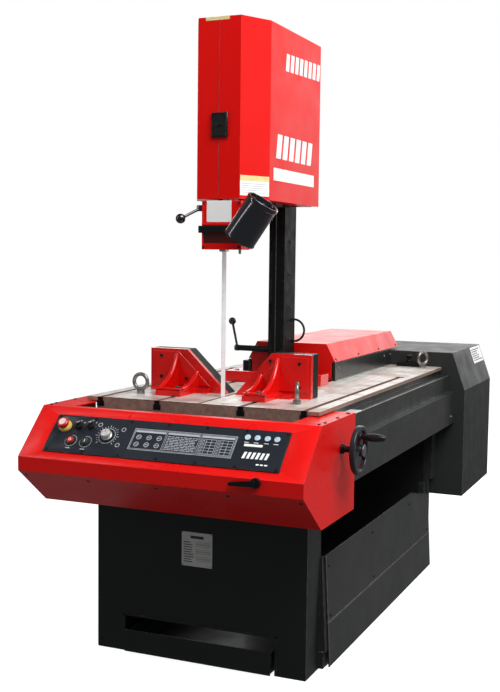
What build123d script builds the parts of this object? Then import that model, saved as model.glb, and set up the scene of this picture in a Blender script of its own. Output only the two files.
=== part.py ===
from build123d import *
import os
from math import cos, sin, radians

os.makedirs("parts", exist_ok=True)

# Datum: machine centre plane x = CX, front of the base cabinet y = CY, floor z = 0 (mm).
CX = -56
CY = -957

# ---- driving dimensions ----
base_half = 400        # half width of the base cabinet
base_deep = 130
console_z = 564        # underside of the console, top of the base cabinet
console_half = 507
table_z = 910          # table top, also the height of the tilt axis
table_half = 438
table_thick = 45
table_y0 = -12
table_y1 = 1657
slot_in = 158          # T-slot centre lines
slot_out = 384
gap_half = 180         # half width of the opening the column travels in
gap_y = 640
rail_x0 = 440          # channel rail, inner edge and outer face
rail_x1 = 501.5
rail_z0 = 655
rail_z1 = 800
rail_y0 = 152
rail_y1 = 1668
screw_x = 465
screw_z = 752
wheel_r = 257
wheel_y = 447
upper_z = 1910
lower_z = 530
blade_t = 1.1
blade_w = 34
col_y0 = 685
col_y1 = 818
head_z0 = 1608
head_z1 = 2228
hand_y = 10            # handwheel axis
hand_z = 792
vise_y = 265           # front of the vise plate
vise_t = 18
jaw_y1 = 336           # rear of the vise jaw
vise_top = 1067
eye_x = 303            # front eye bolts
run_fit = 0.05


def plan(z):
    return Plane(origin=(CX, CY, z))


def front(y):
    return Plane(origin=(CX, CY + y, 0), x_dir=(1, 0, 0), z_dir=(0, -1, 0))


def side(x):
    return Plane(origin=(CX + x, CY, 0), x_dir=(0, 1, 0), z_dir=(1, 0, 0))


def block(x0, x1, y0, y1, z0, z1, mode=Mode.ADD):
    """Rectangular block between two corners in machine coordinates."""
    with Locations((CX + (x0 + x1) / 2, CY + (y0 + y1) / 2, (z0 + z1) / 2)):
        Box(abs(x1 - x0), abs(y1 - y0), abs(z1 - z0), mode=mode)


def prism(plane, points, depth, mode=Mode.ADD):
    """Straight extrusion of a closed outline."""
    with BuildSketch(plane) as outline:
        with BuildLine():
            Polyline(*points, close=True)
        make_face()
    extrude(outline.sketch, amount=depth, mode=mode)


def disc(plane, u, v, r, depth, mode=Mode.ADD):
    """Round bar or round hole standing on a plane."""
    with BuildSketch(plane) as ring:
        with Locations((u, v)):
            Circle(r)
    extrude(ring.sketch, amount=depth, mode=mode)


def rod(p, q, r):
    """Round bar between two points in machine coordinates."""
    a = Vector(CX + p[0], CY + p[1], p[2])
    b = Vector(CX + q[0], CY + q[1], q[2])
    with BuildSketch(Plane(origin=a, z_dir=b - a)) as ring:
        Circle(r)
    extrude(ring.sketch, amount=(b - a).length)


def ball(x, y, z, r):
    with Locations((CX + x, CY + y, z)):
        Sphere(r)


# ================= bed =================
with BuildPart() as base_cabinet:
    block(-base_half, base_half, 0, base_deep, 0, console_z)
    block(-base_half + 4, base_half - 4, 4, base_deep + 1, 4, console_z - 4, Mode.SUBTRACT)
    block(-288, 288, -1, base_deep + 1, -1, 130, Mode.SUBTRACT)
base_cabinet.part.label = "base_cabinet"
export_step(base_cabinet.part, "parts/base_cabinet.step")

with BuildPart() as bed_frame:
    for s in (-1, 1):
        block(s * 375, s * 415, base_deep, 1590, 0, 60)
        block(s * 380, s * 403, 1590, 1625, 0, 395)
        block(s * 380, s * 419, 1590, 1660, 395, rail_z0)
        for y in (131, 1510):
            prism(front(y), [(s * 380, 60), (s * 422.3, 60), (s * 404.2, 388), (s * 380, 388)], -30)
        block(s * 489.5, s * rail_x1, rail_y0, rail_y1, rail_z0, rail_z1)
        block(s * rail_x0, s * 489.5, rail_y0, rail_y1, rail_z0, rail_z0 + 12)
        block(s * rail_x0, s * 489.5, rail_y0, rail_y1, rail_z1 - 12, rail_z1)
        block(s * 406, s * 474, 130, 1650, rail_z1, 873)
        block(s * 406, s * 428, rail_y0, 1650, 873, 896)
        block(s * 60, s * 390, 100, rail_y0, rail_z1, table_z - table_thick)
        block(s * 190, s * 398, 1645, table_y1, rail_z1, table_z - table_thick)
    block(-395, 395, 1600, 1650, 0, 60)
    for y in (140, 540):
        block(-376, 376, y, y + 30, 0, 7.5)
    block(-rail_x1, rail_x1, 60, rail_y0, rail_z0, rail_z1)
    block(-360, 360, 24, 126, console_z, rail_z0)
    block(-489.5, 489.5, 1645, rail_y1, rail_z0, rail_z1)
    disc(front(50), screw_x, screw_z, 15, -110, Mode.SUBTRACT)
bed_frame.part.label = "bed_frame"
export_step(bed_frame.part, "parts/bed_frame.step")

with BuildPart() as side_panels:
    for s in (-1, 1):
        prism(front(155), [(s * 430, 0), (s * 421.6, 153), (s * 417.6, 153), (s * 426, 0)], -1410)
        prism(front(155), [(s * 421.3, 157), (s * 408.5, 390), (s * 404.5, 390), (s * 417.3, 157)], -1410)
        prism(side(s * 400), [(1286, 391), (1566, 391), (1566, 330), (1286, 388)], s * 25, Mode.SUBTRACT)
    block(-375, 375, 170, 540, 0, 4)
    block(-375, 375, 570, 1600, 0, 4)
    block(-380, 380, 1592, 1596, 62, rail_z0 - 1)
side_panels.part.label = "side_panels"
export_step(side_panels.part, "parts/side_panels.step")

with BuildPart() as guide_rails:
    for s in (-1, 1):
        block(s * 455, s * 475, 160, 1644, rail_z0 + 12, 687)
guide_rails.part.label = "guide_rails"
export_step(guide_rails.part, "parts/guide_rails.step")

for hand, s in (("left", -1), ("right", 1)):
    with BuildPart() as table:
        block(s * 6, s * 405, table_y0, table_y1, table_z - table_thick, table_z)
        block(s * 405, s * table_half, table_y0, table_y1, table_z - 14, table_z)
        block(s * 398, s * 406, table_y0 - 1, 154, 860, table_z - 14, Mode.SUBTRACT)
        block(0, s * gap_half, gap_y, table_y1 + 1, 860, table_z + 1, Mode.SUBTRACT)
        prism(front(table_y0 - 1), [(0, 905), (s * 6, 905), (s * 58, 860), (0, 860)], -(gap_y + 14),
              Mode.SUBTRACT)
        block(s * (slot_in - 10), s * (slot_in + 10), table_y0 - 1, gap_y + 1, 890, table_z + 1, Mode.SUBTRACT)
        block(s * (slot_in - 14), s * (slot_in + 14), table_y0 - 1, gap_y + 1, 884, 896, Mode.SUBTRACT)
        block(s * (slot_out - 10), s * (slot_out + 10), table_y0 - 1, 1120, 890, table_z + 1, Mode.SUBTRACT)
        block(s * (slot_out - 14), s * (slot_out + 14), table_y0 - 1, 1120, 884, 896, Mode.SUBTRACT)
        block(s * (slot_out - 18), s * (slot_out + 18), 1118, 1152, 884, table_z + 1, Mode.SUBTRACT)
        for x, y in ((eye_x, 134), (370, 1572)):
            disc(plan(892), s * x, y, 6, 30, Mode.SUBTRACT)
    table.part.label = f"table_{hand}"
    export_step(table.part, f"parts/table_{hand}.step")

with BuildPart() as table_skirts:
    for s in (-1, 1):
        block(s * gap_half, s * 192, 856, 1666, table_z, 984)
table_skirts.part.label = "table_skirts"
export_step(table_skirts.part, "parts/table_skirts.step")

with BuildPart() as eye_bolts:
    for x, y, turn in ((-eye_x, 134, 0), (eye_x, 134, 111), (-370, 1572, 0), (370, 1572, 58)):
        disc(plan(893), x, y, 6 - run_fit, 17)
        disc(plan(table_z), x, y, 14, 13)
        with Locations(Location((CX + x, CY + y, 954), (0, 0, turn))):
            with Locations(Location((0, 0, 0), (90, 0, 0))):
                Torus(27, 7)
eye_bolts.part.label = "eye_bolts"
export_step(eye_bolts.part, "parts/eye_bolts.step")

with BuildPart() as rear_housing:
    prism(front(rail_y1), [(-546, 311), (546, 311), (546, 806), (485, 977), (-485, 977), (-546, 806)], -598)
    prism(front(rail_y1 + 3), [(-543, 305), (543, 305), (543, 805), (483, 974), (-483, 974), (-543, 805)],
          -592, Mode.SUBTRACT)
rear_housing.part.label = "rear_housing"
export_step(rear_housing.part, "parts/rear_housing.step")

# ================= console =================
slope_y = -182
slope_z = 893
nose_y = -334
slope = Plane(origin=(CX, CY + slope_y, slope_z), x_dir=(1, 0, 0), z_dir=(0, -153, 152))
panel_t = 4
estop_at = (-378, -84)
stop_at = (-334, -138)
start_at = (-278, -138)
selector_at = ((-328, -78), (-284, -74))
speed_at = (-208, -108)
lamp_at = ((282, -68), (315, -68), (349, -68), (381, -68))
panel_screw_at = [(-412 + 137 * k, v) for k in range(7) for v in (-44, -178)]
top_screw_at = [(x, y) for x in (-490, 490) for y in (-160, 120)]

with BuildPart() as console_housing:
    prism(side(-console_half), [(slope_y, slope_z), (nose_y, 740), (nose_y, 693), (-172, console_z),
                                (152, console_z), (152, slope_z)], 2 * console_half)
    prism(side(-console_half + 4), [(slope_y + 1.6, slope_z - 4), (nose_y + 4, 738.4), (nose_y + 4, 695),
                                    (-170.6, console_z + 4), (153, console_z + 4), (153, slope_z - 4)],
          2 * console_half - 8, Mode.SUBTRACT)
    block(-400, 400, -155, 153, slope_z - 10, slope_z + 1, Mode.SUBTRACT)
    block(-362, 362, 22, 128, console_z - 1, console_z + 5, Mode.SUBTRACT)
    disc(side(console_half - 10), hand_y, hand_z, 12, 20, Mode.SUBTRACT)
    disc(front(nose_y - 1), 354, 730, 6 + run_fit, -10, Mode.SUBTRACT)
    with BuildSketch(slope.offset(-10)) as window:
        with Locations((0, -110)):
            Rectangle(800, 110)
    extrude(window.sketch, amount=11, mode=Mode.SUBTRACT)
    for u, v in panel_screw_at:
        disc(slope.offset(-8), u, v, 3, 9, Mode.SUBTRACT)
    for x, y in top_screw_at:
        disc(plan(slope_z - 8), x, y, 3, 9, Mode.SUBTRACT)
console_housing.part.label = "console_housing"
export_step(console_housing.part, "parts/console_housing.step")

with BuildPart() as control_panel:
    with BuildSketch(slope) as plate:
        with Locations((-2, -111)):
            RectangleRounded(844, 150, 4)
    extrude(plate.sketch, amount=panel_t)
    for u, v in (stop_at, start_at):
        disc(slope, u, v, 16, 8)
        disc(slope.offset(-1), u, v, 12 + run_fit, 10, Mode.SUBTRACT)
    for u, v in selector_at:
        disc(slope.offset(-1), u, v, 8 + run_fit, 6, Mode.SUBTRACT)
    disc(slope.offset(-1), speed_at[0], speed_at[1], 6 + run_fit, 6, Mode.SUBTRACT)
    disc(slope.offset(-1), estop_at[0], estop_at[1], 12 + run_fit, 6, Mode.SUBTRACT)
    for u, v in lamp_at:
        disc(slope.offset(-1), u, v, 6, 6, Mode.SUBTRACT)
    for u, v in panel_screw_at:
        disc(slope.offset(-1), u, v, 3, 6, Mode.SUBTRACT)
control_panel.part.label = "control_panel"
export_step(control_panel.part, "parts/control_panel.step")

with BuildPart() as console_screws:
    for u, v in panel_screw_at:
        disc(slope.offset(panel_t), u, v, 5, 3)
        disc(slope.offset(-7), u, v, 2.95, 7 + panel_t)
    for x, y in top_screw_at:
        disc(plan(slope_z), x, y, 5, 3)
        disc(plan(slope_z - 12), x, y, 2.95, 12)
console_screws.part.label = "console_screws"
export_step(console_screws.part, "parts/console_screws.step")

with BuildPart() as indicator_lamps:
    for u, v in lamp_at:
        disc(slope.offset(panel_t), u, v, 10, 3)
        disc(slope.offset(-8), u, v, 5.95, 8 + panel_t)
indicator_lamps.part.label = "indicator_lamps"
export_step(indicator_lamps.part, "parts/indicator_lamps.step")

with BuildPart() as estop_collar:
    disc(slope.offset(panel_t), estop_at[0], estop_at[1], 23, 10)
    disc(slope.offset(panel_t - 1), estop_at[0], estop_at[1], 12 + run_fit, 12, Mode.SUBTRACT)
estop_collar.part.label = "estop_collar"
export_step(estop_collar.part, "parts/estop_collar.step")

with BuildPart() as estop_button:
    disc(slope.offset(-14), estop_at[0], estop_at[1], 12, 38)
    disc(slope.offset(22), estop_at[0], estop_at[1], 20, 12)
    fillet(estop_button.faces().sort_by(Axis(origin=slope.origin, direction=slope.z_dir))[-1].edges(), 5)
estop_button.part.label = "estop_button"
export_step(estop_button.part, "parts/estop_button.step")

for label, at in (("stop_button", stop_at), ("start_button", start_at)):
    with BuildPart() as button:
        disc(slope.offset(-6), at[0], at[1], 12, 19)
    button.part.label = label
    export_step(button.part, f"parts/{label}.step")

for hand, at in (("left", selector_at[0]), ("right", selector_at[1])):
    with BuildPart() as selector:
        disc(slope.offset(-10), at[0], at[1], 8, 15)
        disc(slope.offset(panel_t + 0.3), at[0], at[1], 13, 9)
        with BuildSketch(slope.offset(panel_t + 9)) as bar:
            with Locations(Location((at[0], at[1]), 0)):
                SlotOverall(25, 7, rotation=60)
        extrude(bar.sketch, amount=8)
    selector.part.label = f"selector_{hand}"
    export_step(selector.part, f"parts/selector_{hand}.step")

with BuildPart() as speed_knob:
    disc(slope.offset(-10), speed_at[0], speed_at[1], 6, 15)
    disc(slope.offset(panel_t + 0.3), speed_at[0], speed_at[1], 17, 20)
speed_knob.part.label = "speed_knob"
export_step(speed_knob.part, "parts/speed_knob.step")

with BuildPart() as console_lever:
    disc(front(nose_y + 14), 354, 730, 6, 20)
    disc(front(nose_y - 0.3), 354, 730, 16, 11.7)
    prism(front(nose_y - 6), [(354, 739), (271, 728), (266, 722), (271, 716), (354, 719)], 12)
console_lever.part.label = "console_lever"
export_step(console_lever.part, "parts/console_lever.step")

with BuildPart() as chip_drawer:
    block(-276, 276, -16, 560, 8, 80)
    block(-273, 273, -13, 557, 11, 81, Mode.SUBTRACT)
    block(-280, 280, -20, -16, 6, 86)
chip_drawer.part.label = "chip_drawer"
export_step(chip_drawer.part, "parts/chip_drawer.step")

# ================= feed drive =================
with BuildPart() as gear_housing:
    block(425, 490, -30, 60, 722, 822)
    disc(side(424), hand_y, hand_z, 10 + run_fit, 70, Mode.SUBTRACT)
    disc(front(-31), screw_x, screw_z, 10 + run_fit, -92, Mode.SUBTRACT)
gear_housing.part.label = "gear_housing"
export_step(gear_housing.part, "parts/gear_housing.step")

with BuildPart() as handwheel_shaft:
    disc(side(430), hand_y, hand_z, 10, 145)
handwheel_shaft.part.label = "handwheel_shaft"
export_step(handwheel_shaft.part, "parts/handwheel_shaft.step")

grip_y = 5
grip_z = 837
with BuildPart() as handwheel:
    disc(side(558), hand_y, hand_z, 80, 18)
    disc(side(557), hand_y, hand_z, 64, 20, Mode.SUBTRACT)
    fillet(handwheel.edges(), 5)
    disc(side(550), hand_y, hand_z, 19, 28)
    for a in (96, 216, 336):
        c = (hand_y + 42 * cos(radians(a)), hand_z + 42 * sin(radians(a)))
        with BuildSketch(side(561)) as spoke:
            with Locations(Location((c[0], c[1]), a)):
                Rectangle(52, 20)
        extrude(spoke.sketch, amount=12)
    disc(side(561), grip_y, grip_z, 12, 15)
    disc(side(576), grip_y, grip_z, 5, 74)
    disc(side(540), hand_y, hand_z, 10, 35, Mode.SUBTRACT)
handwheel.part.label = "handwheel"
export_step(handwheel.part, "parts/handwheel.step")

with BuildPart() as handwheel_grip:
    with BuildSketch(Plane(origin=(CX, CY + grip_y, grip_z), x_dir=(1, 0, 0), z_dir=(0, -1, 0))) as section:
        with BuildLine():
            Spline((577, 8), (600, 12), (630, 12.5), (654, 8))
            Line((654, 8), (658, 0))
            Line((658, 0), (577, 0))
            Line((577, 0), (577, 8))
        make_face()
    revolve(section.sketch, axis=Axis(origin=(CX, CY + grip_y, grip_z), direction=(1, 0, 0)))
    disc(side(576), grip_y, grip_z, 5 + run_fit, 75, Mode.SUBTRACT)
handwheel_grip.part.label = "handwheel_grip"
export_step(handwheel_grip.part, "parts/handwheel_grip.step")

with BuildPart() as feed_screw:
    disc(front(-25), screw_x, screw_z, 10, -1665)
feed_screw.part.label = "feed_screw"
export_step(feed_screw.part, "parts/feed_screw.step")

# ================= vises =================
# side of the centre plane, jaw tip, upper corner, outer edge, foot, tall rib and its height, short rib
vises = (
    ("left", -1, 17, 181, 332, (-231, -133), (-231, 1049), -147),
    ("right", 1, 11, 154, 306, (107, 194), (172, 1049), 107),
)
for hand, s, tip, corner, outer, foot, (tall_x, tall_z), short_x in vises:
    with BuildPart() as vise_body:
        prism(front(vise_y), [(s * tip, table_z), (s * outer, table_z), (s * outer, vise_top),
                              (s * corner, vise_top)], -vise_t)
        block(foot[0], foot[1], 112, vise_y, table_z, 930)
        block(foot[1], foot[1] + 45, 232, vise_y, table_z, 928)
        for x, y0, top, sag in ((tall_x, 122, tall_z, 18), (short_x, 134, 985, 10)):
            with BuildSketch(side(x)) as rib:
                with BuildLine():
                    Line((y0, 930), (vise_y, 930))
                    Line((vise_y, 930), (vise_y, top))
                    ThreePointArc((vise_y, top), ((y0 + vise_y) / 2 + sag, (930 + top) / 2 - sag), (y0, 930))
                make_face()
            extrude(rib.sketch, amount=14)
        for y in (142, 210):
            disc(plan(table_z - 1), s * slot_in, y, 8.5, 30, Mode.SUBTRACT)
    vise_body.part.label = f"vise_body_{hand}"
    export_step(vise_body.part, f"parts/vise_body_{hand}.step")

    with BuildPart() as jaw_plate:
        prism(front(vise_y + vise_t), [(s * (tip + 1), table_z + 1), (s * outer, table_z + 1),
                                       (s * outer, vise_top), (s * corner, vise_top)],
              vise_y + vise_t - jaw_y1)
    jaw_plate.part.label = f"jaw_plate_{hand}"
    export_step(jaw_plate.part, f"parts/jaw_plate_{hand}.step")

    with BuildPart() as vise_bolts:
        for y in (142, 210):
            block(s * (slot_in - 13), s * (slot_in + 13), y - 13, y + 13, 885, 895)
            disc(plan(894), s * slot_in, y, 7.9, 51)
            with BuildSketch(plan(930)) as nut:
                with Locations((s * slot_in, y)):
                    RegularPolygon(10, 6)
            extrude(nut.sketch, amount=12)
    vise_bolts.part.label = f"vise_bolts_{hand}"
    export_step(vise_bolts.part, f"parts/vise_bolts_{hand}.step")

# ================= carriage =================
car_y0 = 862
car_y1 = 1188
drum_r = 120
shaft_r = 60
with BuildPart() as carriage_beam:
    block(-430, 430, car_y0, car_y1, 690, 790)
    for s in (-1, 1):
        block(s * 430, s * 486, car_y0 + 3, car_y1 - 3, 705, 731)
        block(s * 148, s * 174, car_y0, 900, 790, 912)
carriage_beam.part.label = "carriage_beam"
export_step(carriage_beam.part, "parts/carriage_beam.step")

with BuildPart() as rail_blocks:
    for s in (-1, 1):
        for y in (870, 1100):
            block(s * 443, s * 487, y, y + 80, 673, 705)
            block(s * 454.9, s * 475.1, y - 1, y + 81, 672, 687.1, Mode.SUBTRACT)
rail_blocks.part.label = "rail_blocks"
export_step(rail_blocks.part, "parts/rail_blocks.step")

with BuildPart() as feed_nut:
    block(446, 484, 980, 1050, 731, 770)
    disc(front(970), screw_x, screw_z, 10 + run_fit, -90, Mode.SUBTRACT)
feed_nut.part.label = "feed_nut"
export_step(feed_nut.part, "parts/feed_nut.step")

with BuildPart() as trunnion_housing:
    disc(front(car_y0), 0, table_z, drum_r, car_y0 - car_y1)
    block(-112, 112, car_y0, car_y1, 790, 860)
    block(-70, -20, car_y0, 900, 1000, 1048)
    disc(front(car_y0 - 1), 0, table_z, shaft_r + run_fit, car_y0 - car_y1 - 2, Mode.SUBTRACT)
trunnion_housing.part.label = "trunnion_housing"
export_step(trunnion_housing.part, "parts/trunnion_housing.step")

with BuildPart() as trunnion_cover:
    prism(front(856), [(-192, 986), (-153, 1060), (153, 1060), (192, 986)], -934)
    prism(front(car_y0), [(-190, 984), (-188.5, 986), (-151, 1057), (151, 1057), (188.5, 986), (190, 984)],
          -925, Mode.SUBTRACT)
    block(-176, 176, 856, car_y0, 913, 987)
    disc(front(850), 0, table_z, 66, -20, Mode.SUBTRACT)
    block(-60, -30, 850, 870, 1015, 1045, Mode.SUBTRACT)
trunnion_cover.part.label = "trunnion_cover"
export_step(trunnion_cover.part, "parts/trunnion_cover.step")

with BuildPart() as column_guard_bar:
    block(-204, 204, 650, 672, table_z, 953)
    for s in (-1, 1):
        block(s * 181, s * 204, 672, 740, table_z, 953)
column_guard_bar.part.label = "column_guard_bar"
export_step(column_guard_bar.part, "parts/column_guard_bar.step")

arm_y = 838
arm_z = 1030
with BuildPart() as tilt_clamp_bar:
    disc(side(-228), arm_y, arm_z, 12, 195)
    disc(side(-246), arm_y, arm_z, 6, 20)
    block(-57, -33, arm_y - 12, car_y0, 1018, 1042)
tilt_clamp_bar.part.label = "tilt_clamp_bar"
export_step(tilt_clamp_bar.part, "parts/tilt_clamp_bar.step")

with BuildPart() as tilt_clamp_lever:
    disc(side(-244), arm_y, arm_z, 13, 15)
    rod((-236, arm_y, arm_z + 8), (-259, arm_y, 1141), 5)
    ball(-259, arm_y, 1141, 15.5)
    disc(side(-247), arm_y, arm_z, 6 + run_fit, 20, Mode.SUBTRACT)
tilt_clamp_lever.part.label = "tilt_clamp_lever"
export_step(tilt_clamp_lever.part, "parts/tilt_clamp_lever.step")

# ================= saw frame =================
with BuildPart() as trunnion_shaft:
    disc(front(col_y1), 0, table_z, 85, -18)
    disc(front(col_y1), 0, table_z, shaft_r, -360)
trunnion_shaft.part.label = "trunnion_shaft"
export_step(trunnion_shaft.part, "parts/trunnion_shaft.step")

with BuildPart() as column:
    block(-28, 28, col_y0, col_y1, 330, 2150)
    for s in (-1, 1):
        block(s * 28, s * 33, col_y0, 700, 805, 1604)
    block(-22, 22, col_y0 - 1, 722, 329, 2151, Mode.SUBTRACT)
    for z in (1690, 2090):
        block(27, 130, 740.2, 757.8, z, z + 12)
        disc(plan(z), 130, 749, 8.8, 12)
        disc(plan(z + 12), 130, 749, 5, 30)
    for z in (1071, 1159):
        block(28, 32, 792, 808, z - 8, z + 8)
column.part.label = "column"
export_step(column.part, "parts/column.step")

axle_r = 15
with BuildPart() as head_frame:
    block(-38, -28, 150, 735, 1640, 2200)
    block(-30, 76, 138, 171, 1620, 1700)
    disc(side(-62), wheel_y, upper_z, 42, 30)
    for y, z in ((300, 1690), (300, 2160), (680, 1690), (680, 2160)):
        disc(side(-139), y, z, 10, 105)
    disc(side(-63), wheel_y, upper_z, axle_r, 40, Mode.SUBTRACT)
    block(34.9, 65.1, 143.9, 164.1, 1619, 1701, Mode.SUBTRACT)
head_frame.part.label = "head_frame"
export_step(head_frame.part, "parts/head_frame.step")

with BuildPart() as head_shell:
    prism(plan(head_z0), [(0, 133), (-81, 133), (-142, 255), (-142, 763), (112, 763), (112, 760), (-139, 760),
                          (-139, 255.7), (-79.1, 136), (0, 136)], head_z1 - head_z0)
    prism(plan(head_z1 - 3), [(0, 133), (-81, 133), (-142, 255), (-142, 763), (112, 763), (112, 750), (0, 750)], 3)
    prism(plan(head_z0), [(-42, 136), (-80, 136), (-140, 255), (-140, 761), (-42, 761)], 3)
    block(-40, 30, 755, 770, 1600, 2155, Mode.SUBTRACT)
head_shell.part.label = "head_shell"
export_step(head_shell.part, "parts/head_shell.step")

with BuildPart() as head_door:
    prism(plan(head_z0), [(0.6, 133), (81, 133), (142, 255), (142, 763), (139, 763), (139, 255.7),
                          (79.1, 136), (0.6, 136)], head_z1 - head_z0)
    prism(plan(head_z1 - 3), [(0.6, 133), (81, 133), (142, 255), (142, 745), (0.6, 745)], 3)
    prism(plan(head_z0), [(80, 136), (140, 255), (140, 735), (80, 735)], 3)
    for z in (1702.5, 2102.5):
        block(120, 140, 739.5, 758.5, z, z + 25)
        disc(plan(z - 1), 130, 749, 5 + run_fit, 30, Mode.SUBTRACT)
head_door.part.label = "head_door"
export_step(head_door.part, "parts/head_door.step")

with BuildPart() as head_latch:
    block(-25, 33, 124, 132.5, 1819, 1903)
    chamfer(head_latch.faces().sort_by(Axis.Y)[0].edges(), 2)
    disc(plan(1819), 33, 128.5, 4, 84)
head_latch.part.label = "head_latch"
export_step(head_latch.part, "parts/head_latch.step")

with BuildPart() as upper_axle:
    disc(side(-62), wheel_y, upper_z, axle_r, 88)
upper_axle.part.label = "upper_axle"
export_step(upper_axle.part, "parts/upper_axle.step")

with BuildPart() as drive_shaft:
    disc(side(-110), wheel_y, lower_z, axle_r, 136)
drive_shaft.part.label = "drive_shaft"
export_step(drive_shaft.part, "parts/drive_shaft.step")

for label, z, bore in (("upper_wheel", upper_z, axle_r + run_fit), ("lower_wheel", lower_z, axle_r)):
    with BuildPart() as wheel:
        disc(side(-18), wheel_y, z, wheel_r, 36)
        disc(side(-19), wheel_y, z, wheel_r - 24, 38, Mode.SUBTRACT)
        disc(side(-7), wheel_y, z, wheel_r - 20, 14)
        disc(side(-23), wheel_y, z, 46, 46)
        for k in range(6):
            a = radians(60 * k + 30)
            disc(side(-8), wheel_y + 140 * cos(a), z + 140 * sin(a), 48, 16, Mode.SUBTRACT)
        disc(side(-24), wheel_y, z, bore, 48, Mode.SUBTRACT)
    wheel.part.label = label
    export_step(wheel.part, f"parts/{label}.step")

# Blade loop: flat on the wheel rims, turned a quarter turn where it cuts.
blade_r = wheel_r + 0.1
strand_y = wheel_y - blade_r - blade_t / 2
twist_lo = (566, 732)
twist_hi = (1620, 1870)
with BuildPart() as saw_blade:
    for z, up in ((lower_z, -1), (upper_z, 1)):
        disc(side(-blade_w / 2), wheel_y, z, blade_r + blade_t, blade_w)
    for z, up in ((lower_z, -1), (upper_z, 1)):
        disc(side(-blade_w / 2 - 1), wheel_y, z, blade_r, blade_w + 2, Mode.SUBTRACT)
        block(-20, 20, wheel_y - 300, wheel_y + 300, z, z - up * 300, Mode.SUBTRACT)
    block(-blade_w / 2, blade_w / 2, wheel_y + blade_r, wheel_y + blade_r + blade_t, lower_z, upper_z)
    block(-blade_w / 2, blade_w / 2, strand_y - blade_t / 2, strand_y + blade_t / 2, lower_z, twist_lo[0])
    block(-blade_w / 2, blade_w / 2, strand_y - blade_t / 2, strand_y + blade_t / 2, twist_hi[1], upper_z)
    block(-blade_t / 2, blade_t / 2, strand_y - blade_w / 2, strand_y + blade_w / 2, twist_lo[1], twist_hi[0])
    for z0, z1, turn0, turn1 in ((*twist_lo, 0, 90), (*twist_hi, 90, 180)):
        sections = []
        for k in range(7):
            t = k / 6
            with BuildSketch(Plane(origin=(CX, CY + strand_y, z0 + (z1 - z0) * t))) as cut:
                Rectangle(blade_w, blade_t, rotation=turn0 + (turn1 - turn0) * t)
            sections.append(cut.sketch.faces()[0])
        loft(sections)
saw_blade.part.label = "saw_blade"
export_step(saw_blade.part, "parts/saw_blade.step")

with BuildPart() as lower_frame:
    block(-38, -28, 165, col_y1, 265, 800)
    block(-28, 25, 165, 168, 265, 800)
    block(-28, 25, 165, 735, 265, 268)
    block(-28, 25, 732, 735, 265, 330)
    block(-28, 25, 168, 214, 740, 800)
    block(-4, 4, 171, 216, 735, 801, Mode.SUBTRACT)
    disc(side(-39), wheel_y, lower_z, 17, 12, Mode.SUBTRACT)
lower_frame.part.label = "lower_frame"
export_step(lower_frame.part, "parts/lower_frame.step")

with BuildPart() as gear_motor:
    block(-116, -38, 390, 504, lower_z - 57, lower_z + 57)
    disc(front(504), -77, lower_z, 38, -230)
    disc(side(-117), wheel_y, lower_z, axle_r + run_fit, 80, Mode.SUBTRACT)
gear_motor.part.label = "gear_motor"
export_step(gear_motor.part, "parts/gear_motor.step")

# ---- blade guide, clamp lever, work lamp ----
guide_z0 = 1433
guide_z1 = 1602
with BuildPart() as guide_post:
    block(35, 65, 144, 164, guide_z1, 2010)
guide_post.part.label = "guide_post"
export_step(guide_post.part, "parts/guide_post.step")

lamp_c = (158, 60, 1530)
lamp_pivot = (158, 1543)
with BuildPart() as guide_block:
    block(-58, 92, 125, 165, guide_z0, guide_z1)
    block(-58, -12, 165, 200, guide_z0, guide_z1)
    block(12, 92, 165, 200, guide_z0, guide_z1)
    block(-65, 41, 112, 125, 1491, 1514)
    block(90, 174, 124, 138, 1527, 1559)
    disc(side(-60), 150, 1577, 8 + run_fit, 32, Mode.SUBTRACT)
    disc(front(120), lamp_pivot[0], lamp_pivot[1], 9 + run_fit, -20, Mode.SUBTRACT)
guide_block.part.label = "guide_block"
export_step(guide_block.part, "parts/guide_block.step")

with BuildPart() as guide_inserts:
    for s in (-1, 1):
        block(s * 0.65, s * 12, 172, 204, guide_z0 - 7, guide_z0 + 38)
guide_inserts.part.label = "guide_inserts"
export_step(guide_inserts.part, "parts/guide_inserts.step")

with BuildPart() as guide_clamp_lever:
    disc(side(-62), 150, 1577, 8, 30)
    disc(side(-86), 150, 1577, 11, 26)
    rod((-78, 147, 1575), (-124, 92, 1539), 5)
    ball(-124, 92, 1539, 17.5)
guide_clamp_lever.part.label = "guide_clamp_lever"
export_step(guide_clamp_lever.part, "parts/guide_clamp_lever.step")

lamp_dir = Vector(0.57, 0, 0.82).normalized()
with BuildPart() as work_lamp:
    centre = Vector(CX + lamp_c[0], CY + lamp_c[1], lamp_c[2])
    with BuildSketch(Plane(origin=centre - lamp_dir * 77, z_dir=lamp_dir)) as tube:
        Circle(56)
    extrude(tube.sketch, amount=150)
    with BuildSketch(Plane(origin=centre + lamp_dir * 67, z_dir=lamp_dir)) as rim:
        Circle(58)
    extrude(rim.sketch, amount=10)
    with BuildSketch(Plane(origin=centre - lamp_dir * 78, z_dir=lamp_dir)) as mouth:
        Circle(52)
    extrude(mouth.sketch, amount=30, mode=Mode.SUBTRACT)
    disc(front(lamp_c[1] + 40), lamp_pivot[0], lamp_pivot[1], 9, -35)
work_lamp.part.label = "work_lamp"
export_step(work_lamp.part, "parts/work_lamp.step")

with BuildPart() as hose:
    with BuildLine() as route:
        ThreePointArc((CX + 32, CY + 800, 1159), (CX + 76, CY + 800, 1115), (CX + 32, CY + 800, 1071))
    with BuildSketch(Plane(origin=(CX + 32, CY + 800, 1159), z_dir=(1, 0, 0))):
        Circle(4.4)
    sweep()
hose.part.label = "hose"
export_step(hose.part, "parts/hose.step")
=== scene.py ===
"""Vertical tilt-frame band saw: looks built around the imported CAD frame.

Machine coordinates are millimetres: x = 0 in the middle, y = 0 at the front of the base, z = 0 on the floor.
"""

import math
import random

import bmesh
import bpy
from mathutils import Matrix, Vector


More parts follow.
